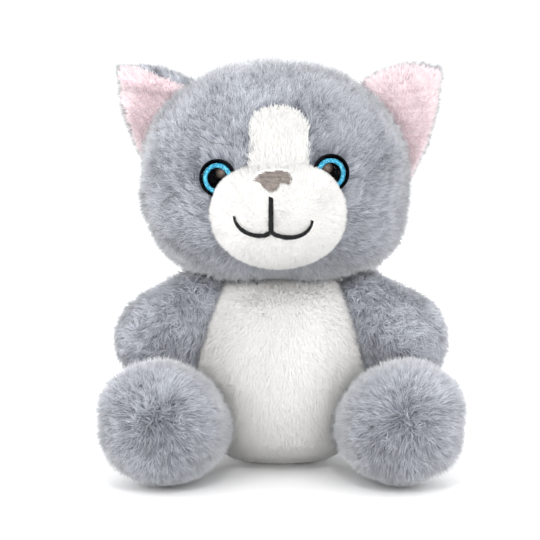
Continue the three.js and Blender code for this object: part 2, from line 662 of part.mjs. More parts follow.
// Three runs of satin stitch that meet under the nose. Each half of the smile is two quarters of
// an ellipse: down from where they meet to the dip, and up from there to the corner.
function smile() {
  const { top, meet, thread, stand } = MOUTH;
  const half = ({ dip, corner }) => [0, 1, 2, 3, 4, 5, 6].map((i) => {
    const [end, share] = i < 2 ? [meet, 1 - i / 2] : [corner, (i - 2) / 4];
    const angle = (share * Math.PI) / 2;
    return [
      dip[0] + (end[0] - dip[0]) * Math.sin(angle),
      dip[1] + (end[1] - dip[1]) * (1 - Math.cos(angle)),
    ];
  });
  const runs = [[top, [top[0], (top[1] + meet[1]) / 2], meet], half(MOUTH.left), half(MOUTH.right)];
  const threads = runs.map((run) => tube(
    run.map((p) => onFront(MUZZLE, p, stand).point), thread, 6, run.length + 2));
  return threads.reduce((a, b) => a.add(b));
}

// A flat ear of two layers, grey behind and pink in front, cut to the head where it is sewn on.
function addEar(side) {
  const { top, tip, low } = EAR_OUTLINES[side];
  const middle = [0, 1].map((i) => (top[i] + tip[i] + low[i]) / 3);
  const outline = (inset) => {
    const pull = (p) => p.map((v, i) => v + (middle[i] - v) * inset);
    const [a, b, c] = [pull(top), pull(tip), pull(low)];
    const towards = (p, q, share) => p.map((v, i) => v + (q[i] - v) * share);
    const bulge = (p, q) => {
      const m = towards(p, q, 0.5);
      return m.map((v, i) => v + (m[i] - middle[i]) * EAR.bulge);
    };
    const s = new THREE.Shape();
    s.moveTo(...a);
    s.quadraticCurveTo(...bulge(a, b), ...towards(b, a, EAR.round));
    s.quadraticCurveTo(...b, ...towards(b, c, EAR.round));
    s.quadraticCurveTo(...bulge(b, c), ...c);
    s.closePath();
    return s;
  };
  const head = ellipsoid(HEAD, EAR.clear);
  const y = EAR.front;
  const backFrom = y + EAR.lining + GAP;
  const back = plate(outline(0), backFrom, backFrom + EAR.back, 5);
  const lining = plate(outline(EAR.inset), y, y + EAR.lining, 5);
  add(`${side}_ear_back`, largest(back.subtract(head)), GREY_PLUSH);
  add(`${side}_ear_lining`, largest(lining.subtract(head)), PINK_PLUSH);
}

addTorso();
addCase();
addPower();
addSpeaker();
addElectronics();
addHead();
addEar('left');
addEar('right');
for (const [name, spec] of Object.entries(limbs)) addLimb(name, spec, GREY_PLUSH);

export default kitten;
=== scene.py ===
"""The sitting plush kitten's looks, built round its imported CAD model.

Each cover becomes a stuffed skin with its own pile of modelled strands, the face gets layered
glossy eyes and thread-by-thread embroidery, and the sound module keeps its CAD shapes.
"""

import math

import bmesh
import bpy
import numpy as np
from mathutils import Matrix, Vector
from mathutils.bvhtree import BVHTree


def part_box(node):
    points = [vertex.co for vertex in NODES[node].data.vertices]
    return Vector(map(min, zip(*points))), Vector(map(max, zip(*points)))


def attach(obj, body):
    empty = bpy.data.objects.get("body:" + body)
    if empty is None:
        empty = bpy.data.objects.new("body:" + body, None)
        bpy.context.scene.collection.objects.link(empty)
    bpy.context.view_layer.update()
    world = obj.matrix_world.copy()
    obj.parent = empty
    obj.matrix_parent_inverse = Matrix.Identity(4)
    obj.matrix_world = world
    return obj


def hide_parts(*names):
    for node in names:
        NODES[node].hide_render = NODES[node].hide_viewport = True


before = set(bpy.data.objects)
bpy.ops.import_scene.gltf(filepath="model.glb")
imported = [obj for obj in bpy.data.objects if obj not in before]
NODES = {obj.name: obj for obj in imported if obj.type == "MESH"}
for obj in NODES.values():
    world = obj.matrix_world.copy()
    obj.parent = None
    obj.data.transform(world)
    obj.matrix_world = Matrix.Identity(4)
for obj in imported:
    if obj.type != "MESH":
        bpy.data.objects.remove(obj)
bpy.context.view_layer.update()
MM = 0.001
UP = np.array([0.0, 0.0, 1.0])
FRONT = np.array([0.0, -1.0, 0.0])
THIN = 1.0


# ------------------------ camera, floor and light
CAMERA_AT = Vector((-5.137, -1141.4, 231.2)) * MM
CAMERA_AIM = Vector((-5.137, 0, 91.03)) * MM
LENS, SENSOR = 164.2, 36
LIGHTS_AIM = Vector((0, 0, 0.1))
WORLD_LIGHT = 1.15
FLOOR = 6  # half the floor's width, in metres
# Softboxes: place and size in metres, power in watts.
LAMPS = {
    "key": ((-0.8, -1.3, 0.6), (0.9, 0.7), 9),
    "fill": ((0.8, -1.3, 0.5), (0.7, 0.9), 7.2),
    "top": ((0.0, 0.2, 1.6), (1.2, 1.2), 4),
    "rim_left": ((-1.1, 0.5, 0.5), (0.7, 0.7), 5),
    "rim_right": ((1.1, 0.5, 0.5), (0.7, 0.7), 5),
    "window": ((0.0, -1.0, 0.97), (0.16, 0.1), 3),
}


def add_camera():
    data = bpy.data.cameras.new("camera")
    data.lens = LENS
    data.sensor_width = SENSOR
    data.clip_start = 0.05
    camera = new_object("camera", data)
    camera.location = CAMERA_AT
    camera.rotation_euler = (CAMERA_AIM - CAMERA_AT).to_track_quat("-Z", "Y").to_euler()
    bpy.context.scene.camera = camera


def add_softbox(name, at, size, power):
    data = bpy.data.lights.new(name, "AREA")
    data.shape = "RECTANGLE"
    data.size, data.size_y = size
    data.energy = power
    lamp = new_object(name, data)
    lamp.location = at
    lamp.rotation_euler = (LIGHTS_AIM - lamp.location).to_track_quat("-Z", "Y").to_euler()


def add_studio():
    world = bpy.data.worlds.new("studio")
    bpy.context.scene.world = world
    world.use_nodes = True
    background = world.node_tree.nodes["Background"]
    background.inputs["Color"].default_value = (1.0, 1.0, 1.0, 1)
    background.inputs["Strength"].default_value = WORLD_LIGHT
    for name, (at, size, power) in LAMPS.items():
        add_softbox(name, at, size, power)
    bpy.context.scene.view_settings.view_transform = "Standard"
    bpy.context.scene.view_settings.look = "None"

    bm = bmesh.new()
    bmesh.ops.create_grid(bm, x_segments=8, y_segments=8, size=FLOOR)
    Shader("floor", (0.95, 0.95, 0.95), 0.8)
    floor = new_object("floor", to_mesh(bm, "floor", smooth=False), "floor")


# ------------------------ materials
STRAND_MAP = "OFBake"
M = {}  # every material, by name


class Shader:
    """A Principled material, filed in M, with short ways to add the nodes that pattern it."""

    def __init__(self, name, color, roughness, **sockets):
        self.material = M[name] = bpy.data.materials.new(name)
        self.material.use_nodes = True
        self.tree = self.material.node_tree
        self.surface = self.tree.nodes["Principled BSDF"]
        self.color = color
        self.set("Base Color", (*color, 1))
        self.set("Roughness", roughness)
        for socket, value in sockets.items():
            self.set(socket.replace("_", " "), value)

    def set(self, socket, value):
        self.surface.inputs[socket].default_value = value

    def node(self, kind, settings=None, **inputs):
        made = self.tree.nodes.new(kind)
        for key, value in (settings or {}).items():
            setattr(made, key, value)
        for key, value in inputs.items():
            socket = made.inputs[key.replace("_", " ")]
            if isinstance(value, bpy.types.NodeSocket):
                self.tree.links.new(value, socket)
            else:
                socket.default_value = value
        return made

    def link(self, output, socket):
        self.tree.links.new(output, self.surface.inputs[socket])

    def place(self, scale=(1, 1, 1)):
        """Object coordinates, stretched by `scale`."""
        where = self.node("ShaderNodeTexCoord").outputs["Object"]
        return self.node("ShaderNodeMapping", Vector=where, Scale=scale).outputs["Vector"]

    def noise(self, scale, detail=3.0, stretch=(1, 1, 1)):
        made = self.node("ShaderNodeTexNoise", Vector=self.place(stretch), Scale=scale,
                         Detail=detail)
        return made.outputs["Fac"]

    def ramp(self, factor, *stops):
        """A colour ramp with (position, colour) stops."""
        made = self.node("ShaderNodeValToRGB", Fac=factor)
        elements = made.color_ramp.elements
        while len(elements) < len(stops):
            elements.new(0.5)
        for element, (position, color) in zip(elements, stops):
            element.position = position
            element.color = (*color, 1)
        return made.outputs["Color"]

    def shades(self, factor, low, high):
        """The shader's own colour, `low` to `high` times as bright."""
        dark = tuple(c * low for c in self.color)
        light = tuple(min(1.0, c * high) for c in self.color)
        self.link(self.ramp(factor, (0.3, dark), (0.7, light)), "Base Color")

    def rough(self, factor, low, high):
        made = self.node("ShaderNodeMapRange", Value=factor, To_Min=low, To_Max=high)
        self.link(made.outputs["Result"], "Roughness")

    def bump(self, height, depth_mm, strength=1.0):
        made = self.node("ShaderNodeBump", Height=height, Strength=strength,
                         Distance=depth_mm * MM)
        self.link(made.outputs["Normal"], "Normal")


def moulded(name, color, roughness=0.45, grain=1600):
    made = Shader(name, color, roughness, Specular_IOR_Level=0.45)
    made.shades(made.noise(70, 4), 0.93, 1.05)
    made.rough(made.noise(240), roughness - 0.06, roughness + 0.1)
    made.bump(made.noise(grain, 2), 0.05, 0.5)


def metal(name, color, roughness=0.3, stretch=(1, 12, 1)):
    made = Shader(name, color, roughness, Metallic=1.0)
    lines = made.noise(500, 3, stretch)
    made.shades(lines, 0.85, 1.06)
    made.rough(lines, roughness - 0.08, roughness + 0.14)
    made.bump(lines, 0.02, 0.4)


def cloth(name, color, weave=1500, depth_mm=0.25):
    """Knitted backing: fine crossed ribs with a cloudy tone."""
    made = Shader(name, color, 0.95, Sheen_Weight=0.3, Sheen_Roughness=0.6)
    made.shades(made.noise(120, 5), 0.9, 1.05)
    ribs = made.node("ShaderNodeTexWave", Vector=made.place(), Scale=weave / 6, Distortion=2.0)
    rows = made.node("ShaderNodeTexWave", Vector=made.place((0.3, 0.3, 1)), Scale=weave / 4)
    rows.bands_direction = "Z"
    both = made.node("ShaderNodeMath", {"operation": "ADD"})
    made.tree.links.new(ribs.outputs["Fac"], both.inputs[0])
    made.tree.links.new(rows.outputs["Fac"], both.inputs[1])
    made.bump(both.outputs[0], depth_mm, 0.6)


def pile(name, root, middle, tip, tones=(0.78, 1.12), sheen=0.3):
    """Fibres: the strand map's V runs root to tip, with the root darker as painted shade deep in
    the pile; its U holds each strand's tone, random and in places painted light and shade.
    """
    made = Shader(name, tip, 0.8, Sheen_Weight=sheen, Sheen_Roughness=0.4)
    made.set("Specular IOR Level", 0.12)
    where = made.node("ShaderNodeUVMap", {"uv_map": STRAND_MAP}).outputs["UV"]
    parts = made.node("ShaderNodeSeparateXYZ", Vector=where)
    # Painted shade: each strand darkens toward its root, standing in for the shade deep in the
    # pile.
    along = made.ramp(parts.outputs["Y"], (0.0, root), (0.45, middle), (1.0, tip))
    tone = made.node("ShaderNodeMapRange", Value=parts.outputs["X"], To_Min=tones[0],
                     To_Max=tones[1])
    mixed = made.node("ShaderNodeVectorMath", {"operation": "SCALE"}, Vector=along)
    made.tree.links.new(tone.outputs["Result"], mixed.inputs["Scale"])
    made.link(mixed.outputs["Vector"], "Base Color")


def thread(name, color, low, high):
    made = Shader(name, color, 0.7, Specular_IOR_Level=0.15)
    made.shades(made.noise(700, 2), low, high)
    made.bump(made.noise(2600, 2, (1, 1, 3)), 0.05, 0.6)


# Each pile's root colour is darker than its tip, as painted shade deep in the pile.
pile("grey_pile", (0.19, 0.205, 0.245), (0.38, 0.40, 0.45), (0.64, 0.66, 0.71),
     (0.5, 1.32), 0.6)
pile("white_pile", (0.90, 0.89, 0.875), (0.95, 0.94, 0.92), (0.97, 0.958, 0.938),
     (0.86, 1.06))
pile("pink_pile", (0.68, 0.49, 0.56), (0.90, 0.75, 0.78), (0.97, 0.89, 0.89))
pile("tape_pile", (0.32, 0.34, 0.38), (0.42, 0.44, 0.48), (0.52, 0.54, 0.58))
cloth("grey_skin", (0.26, 0.275, 0.315))
cloth("white_skin", (0.91, 0.905, 0.895))
cloth("pink_skin", (0.74, 0.55, 0.61))
cloth("fibre_fill", (0.80, 0.80, 0.78), 700, 0.6)
thread("nose_thread", (0.215, 0.185, 0.168), 0.72, 1.25)
thread("mouth_thread", (0.008, 0.008, 0.009), 0.6, 1.5)
cloth("tape", (0.40, 0.42, 0.46), 2600, 0.4)
moulded("case_plastic", (0.74, 0.72, 0.68))
moulded("button_plastic", (0.66, 0.63, 0.56), 0.38)
moulded("washer_plastic", (0.78, 0.78, 0.75), 0.4)
moulded("black_plastic", (0.02, 0.02, 0.022), 0.5)
moulded("cone_paper", (0.035, 0.035, 0.037), 0.8, 900)
metal("speaker_steel", (0.50, 0.50, 0.50), 0.38)
metal("nickel", (0.66, 0.645, 0.61), 0.26)
metal("screw_steel", (0.46, 0.46, 0.47), 0.34)
moulded("wire_red", (0.42, 0.02, 0.015), 0.45, 500)
moulded("wire_black", (0.014, 0.014, 0.015), 0.45, 500)


# ------------------------ mesh helpers
def new_object(name, data, *materials):
    made = bpy.data.objects.new(name, data)
    bpy.context.scene.collection.objects.link(made)
    for key in materials:
        made.data.materials.append(M[key])
    return made


def coords(mesh):
    found = np.empty(len(mesh.vertices) * 3)
    mesh.vertices.foreach_get("co", found)
    return found.reshape(-1, 3)


def set_coords(mesh, points):
    mesh.vertices.foreach_set("co", np.ascontiguousarray(points, np.float32).ravel())
    mesh.update()


def normals(mesh):
    found = np.empty(len(mesh.vertices) * 3)
    mesh.vertices.foreach_get("normal", found)
    return found.reshape(-1, 3)


def set_smooth(mesh, smooth=True):
    mesh.polygons.foreach_set("use_smooth", np.full(len(mesh.polygons), smooth))


def relax(obj, steps):
    made = obj.modifiers.new("relax", "SMOOTH")
    made.factor = 0.5
    made.iterations = steps


def apply_modifiers(obj):
    graph = bpy.context.evaluated_depsgraph_get()
    mesh = bpy.data.meshes.new_from_object(obj.evaluated_get(graph))
    old = obj.data
    obj.modifiers.clear()
    obj.data = mesh
    bpy.data.meshes.remove(old)


def unit(vectors):
    size = np.linalg.norm(vectors, axis=-1, keepdims=True)
    return vectors / np.maximum(size, 1e-9)


def tangent(vectors, to):
    """The part of each vector that lies in the surface with normals `to`."""
    return vectors - (vectors * to).sum(-1, keepdims=True) * to


def centre(node):
    low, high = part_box(node)
    return np.array((low + high) / 2)


def smoothstep(x):
    x = np.clip(x, 0, 1)
    return x * x * (3 - 2 * x)


def bell(x):
    """1 at 0, fading to nothing a little past 1."""
    return np.exp(-2 * x * x)


def waves(points, length, seed, count=20):
    """A smooth random vector at each point, which changes over about `length`."""
    rng = np.random.default_rng(seed)
    turns = unit(rng.normal(size=(count, 3))) * rng.uniform(0.7, 1.4, (count, 1))
    phase = rng.uniform(0, 2 * math.pi, count)
    sway = rng.normal(size=(count, 3))
    return np.sin(points @ turns.T * (2 * math.pi / length) + phase) @ sway * (2 / count) ** 0.5


def cad_bmesh(*nodes):
    """Copies of some CAD nodes' solids, welded."""
    bm = bmesh.new()
    for node in nodes:
        bm.from_mesh(NODES[node].data)
    bmesh.ops.remove_doubles(bm, verts=bm.verts, dist=1e-6)
    return bm


def to_mesh(bm, name, smooth=True):
    mesh = bpy.data.meshes.new(name)
    bm.to_mesh(mesh)
    bm.free()
    set_smooth(mesh, smooth)
    return mesh


def cad_copy(name, node, material, smooth=True):
    return new_object(name, to_mesh(cad_bmesh(node), name, smooth), material)


def cad_tree(node):
    bm = cad_bmesh(node)
    tree = BVHTree.FromBMesh(bm)
    bm.free()
    return tree


def skin_tree(skin):
    polygons = [polygon.vertices[:] for polygon in skin.data.polygons]
    return BVHTree.FromPolygons(coords(skin.data).tolist(), polygons)


def front_of(tree, x, z):
    """The first point of a surface that a line along +Y meets."""
    return tree.ray_cast(Vector((x, -1, z)), Vector((0, 1, 0)))[0]


def near_node(points, node, reach):
    """Points that a CAD node covers, seen from the front."""
    tree = cad_tree(node)
    low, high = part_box(node)
    hit = np.zeros(len(points), bool)
    inside = ((points[:, 0] > low.x - reach) & (points[:, 0] < high.x + reach)
              & (points[:, 2] > low.z - reach) & (points[:, 2] < high.z + reach))
    for index in np.flatnonzero(inside):
        x, _, z = points[index]
        hit[index] = any(front_of(tree, x + dx, z + dz) is not None for dx, dz in
                         ((0, 0), (reach, 0), (-reach, 0), (0, reach), (0, -reach)))
    return hit


def hull(name, *nodes):
    """The outer shape of some CAD nodes, as one closed convex mesh."""
    bm = cad_bmesh(*nodes)
    made = bmesh.ops.convex_hull(bm, input=bm.verts)
    spare = set(made["geom_interior"]) | set(made["geom_unused"])
    bmesh.ops.delete(bm, geom=[g for g in spare if isinstance(g, bmesh.types.BMVert)],
                     context="VERTS")
    kept = set(made["geom"])
    bmesh.ops.delete(bm, geom=[f for f in bm.faces if f not in kept], context="FACES")
    return to_mesh(bm, name)


def remeshed(obj, voxel, inset=0.0, steps=12):
    """Evens out a closed mesh, pulls it in by `inset` and rounds its facets off."""
    remesh = obj.modifiers.new("remesh", "REMESH")
    remesh.mode = "VOXEL"
    remesh.voxel_size = voxel
    relax(obj, steps)
    if inset:
        shrink = obj.modifiers.new("shrink", "DISPLACE")
        shrink.strength = -inset
        shrink.mid_level = 0
    apply_modifiers(obj)
    set_smooth(obj.data)


def inflate(obj, cap, pressure=3.0, frames=20):
    """Blows a stuffed cover up as cloth, with no point moved further than `cap`."""
    scene = bpy.context.scene
    start = coords(obj.data)
    sim = obj.modifiers.new("cloth", "CLOTH")
    settings = sim.settings
    settings.quality = 4
    settings.mass = 0.2
    settings.use_pressure = True
    settings.uniform_pressure_force = pressure
    settings.tension_stiffness = settings.compression_stiffness = 12
    settings.shear_stiffness = 8
    settings.bending_stiffness = 0.6
    settings.effector_weights.gravity = 0
    sim.point_cache.frame_start, sim.point_cache.frame_end = 1, frames
    for number in range(1, frames + 1):
        scene.frame_set(number)
    graph = bpy.context.evaluated_depsgraph_get()
    moved = coords(obj.evaluated_get(graph).data) - start
    size = np.linalg.norm(moved, axis=1, keepdims=True)
    moved *= np.minimum(1, cap / np.maximum(size, 1e-9))
    obj.modifiers.clear()
    set_coords(obj.data, start + moved)
    scene.frame_set(1)
    relax(obj, 3)
    apply_modifiers(obj)


# ------------------------ pile
# Strand length and width in mm, how upright it stands, how much it clumps and over what
# distance in mm, its random lean, and strands per square mm.
PILES = {
    "grey": dict(length=6.6, width=0.42, rise=0.38, tuft=0.5, tuft_size=4, jitter=0.17,
                 per_mm2=4.4, material="grey_pile", slot="grey_plush"),
    "white": dict(length=3.8, width=0.42, rise=0.8, tuft=0.14, tuft_size=3.5, jitter=0.16,
                  per_mm2=6, material="white_pile", slot="white_plush"),
    "pink": dict(length=2.4, width=0.34, rise=0.8, tuft=0.16, tuft_size=3, jitter=0.16,
                 per_mm2=9, material="pink_pile", slot="pink_plush"),
    "tape": dict(length=0.25, width=0.14, rise=2, tuft=0.4, tuft_size=1, jitter=0.4,
                 per_mm2=10, material="tape_pile", slot="fastener_tape"),
}
# A strand is a three-sided needle, closed at its root: three points there and one at the tip.
NEEDLE = [0, 1, 3, 1, 2, 3, 2, 0, 3, 0, 2, 1]
MOST_STRANDS = 45000  # in one piece
LENGTH_SPREAD, WIDTH_SPREAD = (0.85, 1.06), (0.75, 1.2)  # shares of the kind's own size
# Painted light: tufts that lean upward get a lighter tone, as if lit from above.
TONE_SPREAD, PAINTED_LIGHT_BY_DRIFT = 0.18, 0.5  # upward tufts are lighter
TIP_SHADE, SHADE_SPREAD = 0.35, 0.12  # how far its shading leans to its own way, and at random
FLOOR_FADE, FLOOR_GAP = 14 * MM, 0.25 * MM  # strands shorten near the floor, and stop above it
BARE_HEIGHT = 2.5 * MM  # nothing grows below this, where the toy presses on the floor


class Roots:
    """Where strands grow: points, surface normals and a random source."""

    def __init__(self, at, normal, rng):
        self.at, self.normal, self.rng = at, normal, rng

    def keep(self, chosen):
        return Roots(self.at[chosen], self.normal[chosen], self.rng)

    def __len__(self):
        return len(self.at)


def roots_on(skin, kind, seed):
    """Random points spread evenly over a skin, as dense as that kind of pile."""
    mesh = skin.data
    mesh.calc_loop_triangles()
    count = len(mesh.loop_triangles)
    corners = np.empty(count * 3, np.int32)
    mesh.loop_triangles.foreach_get("vertices", corners)
    corners = corners.reshape(-1, 3)
    at, facing = coords(mesh), normals(mesh)
    a, b, c = (at[corners[:, i]] for i in range(3))
    area = np.linalg.norm(np.cross(b - a, c - a), axis=1) / 2
    rng = np.random.default_rng(seed)
    total = int(area.sum() / MM ** 2 * PILES[kind]["per_mm2"] * THIN)
    pick = corners[rng.choice(count, total, p=area / area.sum())]
    u, v = rng.random((2, total, 1))
    flip = u + v > 1
    u, v = np.where(flip, 1 - u, u), np.where(flip, 1 - v, v)
    share = (1 - u - v, u, v)
    where = sum(at[pick[:, i]] * share[i] for i in range(3))
    normal = unit(sum(facing[pick[:, i]] * share[i] for i in range(3)))
    return Roots(where, normal, rng).keep(where[:, 2] > BARE_HEIGHT)


def grow(name, body, roots, kind, comb, tone=0.5, scale=1.0, **changes):
    """Strands as fine needles, combed and tufted. A large pile becomes several pieces.

    `comb` is the direction in the surface that each strand leans to, `tone` how light it is
    from 0 to 1, and `scale` how long it is beside the others.
    """
    count = len(roots)
    comb = np.broadcast_to(comb, (count, 3))
    tone = np.broadcast_to(tone, count)
    scale = np.broadcast_to(scale, count)
    pieces = math.ceil(count / MOST_STRANDS)
    if pieces > 1:
        order = np.argsort(roots.at[:, 0])
        for number, some in enumerate(np.array_split(order, pieces), 1):
            grow(f"{name}_{number}", body, roots.keep(some), kind, comb[some], tone[some],
                 scale[some], **changes)
        return None
    look = {**PILES[kind], **changes}
    rng, normal = roots.rng, roots.normal
    size = look["tuft_size"] * MM
    drift = tangent(waves(roots.at, size, 7) + waves(roots.at, size * 5, 11) / 2, normal)
    drift *= look["tuft"]
    jitter = rng.normal(size=(count, 3)) * look["jitter"]
    rise = np.reshape(look["rise"], (-1, 1))
    way = unit(normal * rise + tangent(comb, normal) + drift + jitter)
    near_floor = 0.2 + 0.8 * smoothstep(roots.at[:, 2] / FLOOR_FADE)
    long = look["length"] * MM * rng.uniform(*LENGTH_SPREAD, count) * near_floor * scale
    side = unit(np.cross(way, normal)) * look["width"] * MM / 2
    side *= rng.uniform(*WIDTH_SPREAD, (count, 1))
    up = np.cross(way, side)
    around = [roots.at + side * math.cos(a) + up * math.sin(a)
              for a in (0, 2 * math.pi / 3, 4 * math.pi / 3)]
    points = np.stack([*around, roots.at + way * long[:, None]], axis=1)
    points[..., 2] = np.maximum(points[..., 2], FLOOR_GAP)
    # Random tone, with painted light on tufts that lean upward.
    tones = tone + rng.normal(size=count) * TONE_SPREAD + drift[:, 2] * PAINTED_LIGHT_BY_DRIFT
    tones = np.clip(tones, 0.02, 0.98)
    facing = unit(normal + way * TIP_SHADE + rng.normal(size=(count, 3)) * SHADE_SPREAD)
    made = needles(name, look["material"], points, tones, facing)
    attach(made, body)
    return made


def needles(name, material, points, tones, facing):
    """One mesh for many strands, with the strand map as its UV layer."""
    count, corners = points.shape[:2]
    pattern = np.array(NEEDLE, np.int32)
    mesh = bpy.data.meshes.new(name)
    mesh.vertices.add(count * corners)
    mesh.vertices.foreach_set("co", points.astype(np.float32).ravel())
    loops = (np.arange(count, dtype=np.int32)[:, None] * corners + pattern).ravel()
    faces = len(loops) // 3
    mesh.loops.add(len(loops))
    mesh.loops.foreach_set("vertex_index", loops)
    mesh.polygons.add(faces)
    mesh.polygons.foreach_set("loop_start", np.arange(0, len(loops), 3, dtype=np.int32))
    set_smooth(mesh)
    mesh.update(calc_edges=True)
    uv = np.empty((count, len(pattern), 2), np.float32)
    uv[..., 0] = tones[:, None] + np.array([-0.004, 0.004, 0, 0])[pattern]
    uv[..., 1] = np.array([0.001, 0.001, 0.005, 0.999])[pattern]
    layer = mesh.uv_layers.new(name=STRAND_MAP)
    layer.uv.foreach_set("vector", uv.ravel())
    mesh.normals_split_custom_set_from_vertices(np.repeat(facing, corners, axis=0))
    return new_object(name, mesh, material)


# ------------------------ face layout, from the CAD nodes
MUZZLE_LOW, MUZZLE_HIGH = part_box("muzzle_panel")
MUZZLE_MIDDLE = centre("muzzle_panel")
RING_HEIGHT = 0.9 * MM  # the glitter ring's middle over the eye's own zero


class Eye:
    def __init__(self, side):
        dome, washer = centre(f"{side}_eye_dome"), centre(f"{side}_eye_washer")
        self.side = side
        self.facing = unit(dome - washer)
        low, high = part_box(f"{side}_eye_cup")
        self.radius = (high.z - low.z) / 2 - 0.1 * MM
        self.at = centre(f"{side}_eye_ring") - self.facing * RING_HEIGHT
        self.inward = unit(tangent(MUZZLE_MIDDLE - self.at, self.facing))


EYES = {side: Eye(side) for side in ("left", "right")}
HEAD_MIDDLE_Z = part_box("head_cover")[1].z - 50 * MM  # about the height of the eyes
MUZZLE_RADII = (28.7, 22.5, 22.7)  # in mm, without the pile
MUZZLE_BACK = 6 * MM  # from the muzzle panel's rear edge forward to the pad's widest place
MUZZLE_SQUARE, MUZZLE_WALL = 0.96, 3  # how square its outline is, and how steep its sides
SWELL_REACH, SWELL_SPREAD = 16 * MM, 0.12  # of the swell over an eye, and its lean outward
DOME_REACH, DOME_GAP = 7.5 * MM, 0.4 * MM  # the dome's part to clear, and by how much
BLAZE_LOW, BLAZE_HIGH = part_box("blaze_panel")
BLAZE_TOP, BLAZE_ROUND = 11 * MM, 2.6  # the rounded top's height and how square it is
CHEEK = {"push": 4.5 * MM, "height": 98 * MM, "reach": 20 * MM}  # the fuller right cheek
TEMPLE = 1.2 * MM  # how much wider the head's left side is


def in_muzzle(points, grow_mm=0.0):
    """How far inside the muzzle's outline a point is, as seen from the front: under 1 is inside."""
    half_x = (MUZZLE_HIGH.x - MUZZLE_LOW.x) / 2 + grow_mm * MM
    half_z = (MUZZLE_HIGH.z - MUZZLE_LOW.z) / 2 + grow_mm * MM
    x = (points[:, 0] - MUZZLE_MIDDLE[0]) / half_x
    z = (points[:, 2] - MUZZLE_MIDDLE[2]) / half_z
    return np.where(points[:, 1] < 0, np.hypot(x, z), 9.0)


def in_blaze(points):
    """Inside the white stripe up the forehead, whose top is round and whose edges are soft."""
    half = (BLAZE_HIGH.x - BLAZE_LOW.x) / 2 - 0.8 * MM
    rise = (points[:, 2] - (BLAZE_HIGH.z - BLAZE_TOP)) / (BLAZE_TOP + 0.5 * MM)
    half *= np.sqrt(np.clip(1 - np.clip(rise, 0, 1) ** BLAZE_ROUND, 0, 1))
    x = points[:, 0] - (BLAZE_HIGH.x + BLAZE_LOW.x) / 2
    ragged = waves(points, 3 * MM, 5)[:, 0] * 0.35 * MM
    return ((np.abs(x) < half + ragged) & (rise < 0.99) & (points[:, 1] < 0)
            & (points[:, 2] > MUZZLE_MIDDLE[2]))


def away_from_eyes(points):
    """Leans strands out of each eye, so that the pile doesn't cover it."""
    push = np.zeros_like(points)
    for eye in EYES.values():
        out = points - eye.at
        gap = np.linalg.norm(out, axis=1, keepdims=True) - eye.radius
        push += unit(out) * np.clip(1 - gap / (5 * MM), 0, 1) * 1.3
    return push


def clear_of_eyes(points, gap_mm):
    far = np.ones(len(points), bool)
    for eye in EYES.values():
        far &= np.linalg.norm(points - eye.at, axis=1) > eye.radius + gap_mm * MM
    return far


# ------------------------ skins
def add_skin(name, body, nodes, material, voxel, inset, cap):
    """A stuffed cover: its CAD nodes' outer shape, evened out and blown up as cloth."""
    skin = new_object(name, hull(name, *nodes), material)
    remeshed(skin, voxel * MM, inset * MM)
    inflate(skin, cap * MM)
    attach(skin, body)
    return skin


def finish_skin(nodes):
    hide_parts(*nodes)


def paint(skin, material, chosen):
    """Gives another cloth to the faces whose middles are chosen."""
    mesh = skin.data
    mesh.materials.append(M[material])
    middles = np.empty(len(mesh.polygons) * 3)
    mesh.polygons.foreach_get("center", middles)
    index = chosen(middles.reshape(-1, 3)).astype(np.int32) * (len(mesh.materials) - 1)
    mesh.polygons.foreach_set("material_index", index)


def add_head():
    skin = add_skin("head_skin", "head", ["head_cover"], "grey_skin", 3, 0.5, 2)
    points = coords(skin.data)
    right = smoothstep((points[:, 0] - 10 * MM) / (25 * MM))
    cheek = bell((points[:, 2] - CHEEK["height"]) / CHEEK["reach"])
    points[:, 0] += CHEEK["push"] * right * cheek
    points[:, 0] -= TEMPLE * smoothstep(-points[:, 0] / (40 * MM))
    set_coords(skin.data, points)
    paint(skin, "white_skin", in_blaze)
    finish_skin(["head_cover"])

    roots = roots_on(skin, "grey", 101)
    roots = roots.keep(clear_of_eyes(roots.at, -0.4) & (in_muzzle(roots.at, -3) > 1)
                       & ~in_blaze(roots.at))
    comb = unit(roots.at - MUZZLE_MIDDLE) * 0.95 + away_from_eyes(roots.at) - UP * 0.1
    # Painted light: the grey pile gets a lighter tone toward the top of the head, as if lit from
    # above.
    light = 0.35 + 0.27 * smoothstep((roots.at[:, 2] - HEAD_MIDDLE_Z) / (45 * MM))
    grow("head_fur", "head", roots, "grey", comb, light)

    white = roots_on(skin, "white", 102)
    white = white.keep(in_blaze(white.at) & (in_muzzle(white.at, -3) > 1)
                       & clear_of_eyes(white.at, 0.5))
    top = smoothstep((white.at[:, 2] - BLAZE_HIGH.z + 14 * MM) / (12 * MM))
    comb = UP * (0.7 - 0.5 * top[:, None])
    # Painted shade: the blaze's white takes a low tone, darker than the belly's, where the lamps
    # fall strongest.
    strands = grow("blaze_fur", "head", white, "white", comb, 0.25, 1 - 0.3 * top, length=4.4)
    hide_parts("blaze_panel")


def dome_height(radius):
    """The height to clear over an eye's dome at a distance from its axis, in mm."""
    return 5.6 - 3.2 * (radius / 8) ** 2


def raise_over_eyes(skin):
    """Swells the muzzle's upper corners, so that they stand clear in front of the eyes' domes."""
    points = coords(skin.data)
    facing_out = normals(skin.data)
    for eye in EYES.values():
        away = points - eye.at
        height = away @ eye.facing
        radius = np.linalg.norm(away - height[:, None] * eye.facing, axis=1)
        short = dome_height(radius / MM) * MM + DOME_GAP - height
        over = (radius < DOME_REACH) & (facing_out @ eye.facing > 0.15)
        swell = max(0.0, short[over].max()) if over.any() else 0.0
        outward = unit((eye.at - MUZZLE_MIDDLE) * np.array([1, 0, 1]))
        way = FRONT + outward * SWELL_SPREAD
        points += swell * bell(radius / SWELL_REACH)[:, None] * way
    set_coords(skin.data, points)


